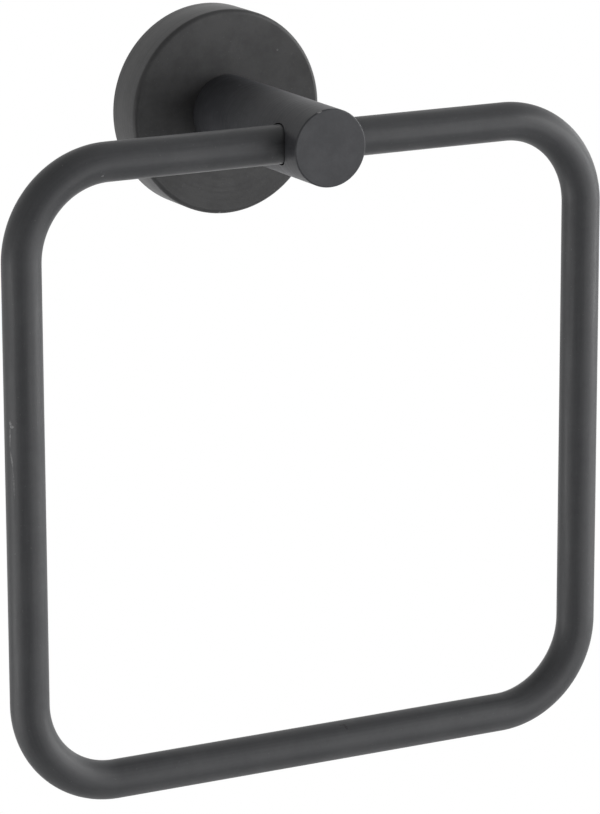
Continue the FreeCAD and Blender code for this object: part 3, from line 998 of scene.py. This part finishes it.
@dataclass
class PostScrew:
    """Socket-head screw inside the cup, through the washer into the post."""

    head_radius: float = 5.0 * MM
    head_top: float = -5.0 * MM
    head_seat: float = -9.0 * MM
    head_edge: float = 0.35 * MM
    knurl: float = 0.965
    end: float = -23.0 * MM
    end_bevel: float = 0.6 * MM
    key_across: float = 4.0 * MM
    key_depth: float = 2.3 * MM
    key_mouth: float = 0.3 * MM
    head_sides: int = 96
    thread: Thread = Thread(radius=3.0 * MM, depth=0.55 * MM, pitch=1.0 * MM)
    plain: float = 1.5 * MM

    def build(self) -> bpy.types.Object:
        """Heads, knurls, broaches and threads the screw.

        Returns:
            The screw.
        """
        seat = (0.0, self.head_seat, 0.0)
        height = self.head_top - self.head_seat
        screw = Bench.rod("socket_screw", self.head_radius, seat, height, Along.Y, self.head_sides)
        Bench.bevel_rim(screw, Along.Y, self.head_top, self.head_radius, self.head_edge, steps=2)
        self.knurl_head(screw)
        end = (0.0, self.end, 0.0)
        length = self.head_seat - self.end + PAST / 2
        shank = Bench.rod("shank", self.thread.radius, end, length, Along.Y, sides=72)
        Bench.bevel_rim(shank, Along.Y, self.end, self.thread.radius, self.end_bevel, steps=1)
        Bench.combine(screw, shank, Join.WELD)
        bottom = (0.0, self.head_top - self.key_depth, 0.0)
        key = Bench.rod(
            "key", self.key_across / math.sqrt(3), bottom, self.key_depth + PAST, Along.Y, sides=6
        )
        Bench.combine(screw, key, Join.CUT)
        mouth = (0.0, self.head_top, 0.0)
        Bench.sink(screw, mouth, self.key_across / 2, self.key_mouth, Along.Y, flip=True)
        start = self.head_seat - self.plain
        Bench.cut_thread(screw, self.thread, (0.0, start, 0.0), start - self.end + PAST, Along.Y)
        return Bench.finish(screw)

    def knurl_head(self, screw: bpy.types.Object) -> None:
        """Draws in every second upright edge of the head.

        Args:
            screw: the headed blank.
        """
        step = 2 * math.pi / self.head_sides

        def in_groove(edge: bmesh.types.BMEdge) -> bool:
            """Tells whether an edge runs along the head at an odd step."""
            first, second = (end.co for end in edge.verts)
            if abs(first.y - second.y) < MM or Bench.off_axis(first, Along.Y) < self.head_radius - CLOSE:
                return False
            return round(math.atan2(first.z, first.x) / step) % 2 == 1

        Bench.pick_where(screw, Pick.EDGES, in_groove)
        bpy.ops.transform.resize(value=(self.knurl, 1.0, self.knurl), center_override=(0.0, 0.0, 0.0))
        Bench.lay_down()

    def dress(self, finishes: Finishes) -> None:
        """Builds the screw and plates it."""
        hang(self.build(), "post_screw", finishes.plating)


@dataclass
class GrubScrew:
    """Headless screw that stands upright, with its tip up and its socket below."""

    node: str
    tip: Tip
    top: float
    bottom: float
    reach: float
    bevel: float = 0.5 * MM
    key_across: float = 2.0 * MM
    key_depth: float = 1.6 * MM
    thread: Thread = Thread(radius=2.0 * MM, depth=0.38 * MM, pitch=0.7 * MM)

    def build(self) -> bpy.types.Object:
        """Points, bevels, threads and broaches the screw.

        Returns:
            The screw.
        """
        radius = self.thread.radius
        shoulder = self.top - (radius if self.tip is Tip.CONE else self.bevel)
        foot = (0.0, 0.0, self.bottom)
        screw = Bench.rod(self.node + "_body", radius, foot, shoulder - self.bottom, Along.Z, sides=72)
        Bench.bevel_rim(screw, Along.Z, self.bottom, radius, self.bevel, steps=1)
        Bench.pick_where(screw, Pick.FACES, lambda face: face.normal.z > 0.99)
        tip = (0.0, 0.0, self.top - shoulder)
        bpy.ops.mesh.extrude_region_move(TRANSFORM_OT_translate={"value": tip})
        if self.tip is Tip.CONE:
            bpy.ops.mesh.merge(type="CENTER")
        else:
            share = 1 - self.bevel / radius
            bpy.ops.transform.resize(value=(share, share, 1.0), center_override=(0.0, 0.0, self.top))
        Bench.lay_down()
        below = (0.0, 0.0, self.bottom - PAST)
        key = Bench.rod(
            "key", self.key_across / math.sqrt(3), below, self.key_depth + PAST, Along.Z, sides=6
        )
        Bench.combine(screw, key, Join.CUT)
        Bench.cut_thread(screw, self.thread, (0.0, 0.0, self.top), self.top - self.bottom + PAST, Along.Z)
        Bench.edit(screw, Pick.POINTS, everything=True)
        bpy.ops.transform.translate(value=(0.0, -self.reach, 0.0))
        return Bench.finish(screw)

    def dress(self, finishes: Finishes) -> None:
        """Builds the screw and blackens it."""
        hang(self.build(), self.node, finishes.oxide)


@dataclass
class PlainParts:
    """Solids whose shape is already right, which only get their finish."""

    plated: tuple[str, ...] = ("wall_bracket", "post_washer")
    brass: tuple[str, ...] = ("ring_joint_pin",)

    def dress(self, finishes: Finishes) -> None:
        """Gives each solid its finish in its own slots."""
        for names, material in ((self.plated, finishes.plating), (self.brass, finishes.brass)):
            for name in names:
                for slot in bpy.data.objects[name].material_slots:
                    slot.material = material
                LOG.info("%s: solid kept, wears %s", name, material.name)


@dataclass
class TubeLoop:
    """Square loop of round tube whose ends meet inside the post."""

    radius: float = 5.0 * MM
    wall: float = 1.5 * MM
    reach: float = 59.0 * MM
    half_width: float = 80.0 * MM
    height: float = 160.0 * MM
    bend: float = 23.5 * MM
    end_gap: float = 0.3 * MM
    sides: int = 72
    bend_steps: int = 36

    def build(self) -> bpy.types.Object:
        """Draws the tube along its runs and round its four bends.

        Returns:
            The loop.
        """
        Bench.lay_down()
        bpy.ops.mesh.primitive_circle_add(
            vertices=self.sides,
            radius=self.radius,
            location=(self.end_gap, -self.reach, 0.0),
            rotation=Along.X.value,
        )
        tube = bpy.context.object
        tube.name = tube.data.name = "loop_tube"
        Bench.fix_place(tube)
        Bench.edit(tube, Pick.EDGES, everything=True)
        inner, low = self.half_width - self.bend, -self.height + self.bend
        self.run((inner - self.end_gap, 0.0))
        self.turn((inner, -self.bend))
        self.run((0.0, low + self.bend))
        self.turn((inner, low))
        self.run((-2 * inner, 0.0))
        self.turn((-inner, low))
        self.run((0.0, -low - self.bend))
        self.turn((-inner, -self.bend))
        self.run((inner - self.end_gap, 0.0))
        Bench.heal(tube)
        Bench.modify(tube, "SOLIDIFY", thickness=self.wall, offset=-1.0, use_rim=True)
        Bench.finish(tube)
        self.lay_straight(tube)
        return tube

    def run(self, way: tuple[float, float]) -> None:
        """Draws the open end straight on, as far along X and Z as its way says."""
        bpy.ops.mesh.extrude_edges_move(TRANSFORM_OT_translate={"value": (way[0], 0.0, way[1])})

    def turn(self, middle: tuple[float, float]) -> None:
        """Draws the open end round a quarter bend about a middle in X and Z."""
        bpy.ops.mesh.spin(
            steps=self.bend_steps,
            angle=-QUARTER,
            center=(middle[0], -self.reach, middle[1]),
            axis=(0.0, 1.0, 0.0),
        )

    def lay_straight(self, tube: bpy.types.Object) -> None:
        """Writes for each point where it would lie if the tube were straight, for streaks along it.

        Args:
            tube: the finished loop.
        """
        inner = self.half_width - self.bend
        corner = self.bend * QUARTER
        rise = self.height - 2 * self.bend
        lie = tube.data.attributes.new("lie", "FLOAT_VECTOR", "POINT")
        for number, point in enumerate(tube.data.vertices):
            x, y, z = point.co
            across, down = abs(x), -z
            low = down > self.height / 2
            depth = self.height - down if low else down
            if across > inner and depth < self.bend:
                angle = math.atan2(across - inner, self.bend - depth)
                out = math.hypot(across - inner, self.bend - depth) - self.bend
                along = inner + self.bend * angle
            elif depth < self.bend:
                out, along = -depth, across
            else:
                out, along = across - self.half_width, inner + corner + depth - self.bend
            if low:
                along = 2 * (inner + corner) + rise - along
            lie.data[number].vector = (out, y + self.reach, along)

    def dress(self, finishes: Finishes) -> None:
        """Builds the loop and gives it its coat."""
        hang(self.build(), "ring", finishes.loop_coat)


def look_back(azimuth: float, elevation: float) -> Vector:
    """Works out the way from the ring to whatever looks at it.

    Args:
        azimuth: angle round the ring in degrees, from the front to the right.
        elevation: angle above the level in degrees.

    Returns:
        A step of one that way.
    """
    side, rise = math.radians(azimuth), math.radians(elevation)
    level = math.cos(rise)
    return Vector((math.sin(side) * level, -math.cos(side) * level, math.sin(rise)))


@dataclass(frozen=True)
class SoftBox:
    """Flat soft light that looks at the ring: side angle, height angle, width, height and brightness."""

    name: str
    azimuth: float
    elevation: float
    width: float
    height: float
    brightness: float
    distance: float = 1.7

    def stand(self, aim: Vector) -> None:
        """Puts the box up.

        Args:
            aim: the point that it looks at.
        """
        way = look_back(self.azimuth, self.elevation)
        Bench.lay_down()
        bpy.ops.object.light_add(type="AREA", location=aim + way * self.distance)
        lamp = bpy.context.object
        lamp.name = self.name
        lamp.data.shape = "RECTANGLE"
        lamp.data.size, lamp.data.size_y = self.width, self.height
        lamp.data.energy = self.brightness * math.pi * self.width * self.height
        lamp.rotation_euler = way.to_track_quat("Z", "Y").to_euler()


@dataclass
class Studio:
    """Soft boxes round the ring, a white surround and a pale floor well below it."""

    floor_level: float = -1.2
    floor_radius: float = 1.6
    floor_glow: float = 0.45
    surround: float = 0.06
    aim: Point = (0.0, -0.05, -0.06)
    boxes: tuple[SoftBox, ...] = (
        SoftBox("right_box", 62.0, 8.0, 1.5, 1.5, 4.2),
        SoftBox("back_right_box", 106.0, 12.0, 0.8, 0.45, 3.0),
        SoftBox("front_box", 18.0, -12.0, 0.9, 0.8, 1.95),
        SoftBox("left_box", -90.0, -18.0, 1.3, 1.0, 2.4),
        SoftBox("low_left_box", -112.0, -25.0, 0.8, 0.8, 1.4),
    )

    def light(self) -> None:
        """Sets up the boxes, the surround and the floor."""
        for box in self.boxes:
            box.stand(Vector(self.aim))
        self.paint_surround()
        self.lay_floor()

    def paint_surround(self) -> None:
        """Makes the world white where it is seen or mirrored, and a plain grey light otherwise."""
        world = bpy.data.worlds.new("surround")
        bpy.context.scene.world = world
        world.use_nodes = True
        tree = world.node_tree
        tree.nodes.clear()
        strength = self.where_seen(tree, unseen=self.surround, shown=1.0)
        white = tree.nodes.new("ShaderNodeBackground")
        tree.links.new(strength, white.inputs["Strength"])
        white.inputs["Color"].default_value = (1.0, 1.0, 1.0, 1.0)
        out = tree.nodes.new("ShaderNodeOutputWorld")
        tree.links.new(white.outputs["Background"], out.inputs["Surface"])

    @staticmethod
    def where_seen(tree: bpy.types.NodeTree, unseen: float, shown: float) -> Socket:
        """Adds a value for what is seen, mirrored or seen through glass, and another for all other light.

        Args:
            tree: the node tree to add to.
            unseen: the value for all other light.
            shown: the value where it is seen.

        Returns:
            The value.
        """
        path = tree.nodes.new("ShaderNodeLightPath")
        seen = path.outputs["Is Camera Ray"]
        for ray in ("Is Glossy Ray", "Is Transmission Ray"):
            either = tree.nodes.new("ShaderNodeMath")
            either.operation = "MAXIMUM"
            tree.links.new(seen, either.inputs[0])
            tree.links.new(path.outputs[ray], either.inputs[1])
            seen = either.outputs["Value"]
        span = tree.nodes.new("ShaderNodeMapRange")
        span.inputs["To Min"].default_value = unseen
        span.inputs["To Max"].default_value = shown
        tree.links.new(seen, span.inputs["Value"])
        return span.outputs["Result"]

    def lay_floor(self) -> None:
        """Lays a round pale floor that is paler where it is seen and fades out at its edge."""
        Bench.lay_down()
        bpy.ops.mesh.primitive_circle_add(
            vertices=96, radius=self.floor_radius, fill_type="NGON", location=(0.0, 0.0, self.floor_level)
        )
        floor = bpy.context.object
        floor.name = "floor"
        paper = Wiring("pale_floor")
        paper.shader.inputs["Base Color"].default_value = (0.86, 0.86, 0.86, 1.0)
        paper.shader.inputs["Roughness"].default_value = 0.9
        paper.shader.inputs["Emission Color"].default_value = (1.0, 1.0, 1.0, 1.0)
        glow = self.where_seen(paper.tree, unseen=0.0, shown=self.floor_glow)
        paper.link(glow, paper.shader, "Emission Strength")
        fade = paper.soft_ball({"Scale": [self.floor_radius] * 3}, high=1.0, end=0.45)
        paper.link(fade, paper.shader, "Alpha")
        floor.data.materials.append(paper.material)


@dataclass
class PhotoCamera:
    """Camera at the photograph's viewing angle; angles in degrees, lengths in metres."""

    azimuth: float = -27.708
    elevation: float = 14.335
    roll: float = -0.17
    distance: float = 1.094171
    right_of_middle: float = 0.001431
    above_middle: float = 0.003787
    middle: Point = (0.0, -0.050, -0.075)
    focal_pixels: float = 4243.032
    long_side_pixels: float = 814.0
    sensor: float = 36.0

    def place(self) -> None:
        """Puts the camera up and makes it the scene's."""
        tilt = math.radians(self.roll)
        back = look_back(self.azimuth, self.elevation)
        level = Along.Z.way.cross(back).normalized()
        upright = back.cross(level)
        right = level * math.cos(tilt) + upright * math.sin(tilt)
        up = upright * math.cos(tilt) - level * math.sin(tilt)
        target = Vector(self.middle) + right * self.right_of_middle + up * self.above_middle
        Bench.lay_down()
        bpy.ops.object.camera_add(location=target + back * self.distance)
        camera = bpy.context.object
        camera.name = "photo_camera"
        camera.rotation_mode = "QUATERNION"
        camera.rotation_quaternion = Matrix((right, up, back)).transposed().to_quaternion()
        camera.data.sensor_width = self.sensor
        camera.data.lens = self.focal_pixels * self.sensor / self.long_side_pixels
        camera.data.clip_start, camera.data.clip_end = 0.01, 100.0
        bpy.context.scene.camera = camera


def main() -> None:
    """Builds the towel ring, lights it and looks at it as the photograph does."""
    logging.basicConfig(level=logging.INFO, format="%(name)s: %(message)s")
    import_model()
    bpy.context.scene.view_settings.view_transform = "Standard"
    finishes = Finishes.make()
    parts = (
        RosetteCover(),
        Post(),
        TubeLoop(),
        PostScrew(),
        GrubScrew("cover_grub_screw", Tip.CONE, top=-21.65 * MM, bottom=-26.6 * MM, reach=5.0 * MM),
        GrubScrew("ring_grub_screw", Tip.FLAT, top=-5.05 * MM, bottom=-9.0 * MM, reach=59.0 * MM),
        PlainParts(),
    )
    for part in parts:
        part.dress(finishes)
    Studio().light()
    PhotoCamera().place()
    bpy.context.view_layer.update()


if __name__ == "__main__":
    main()
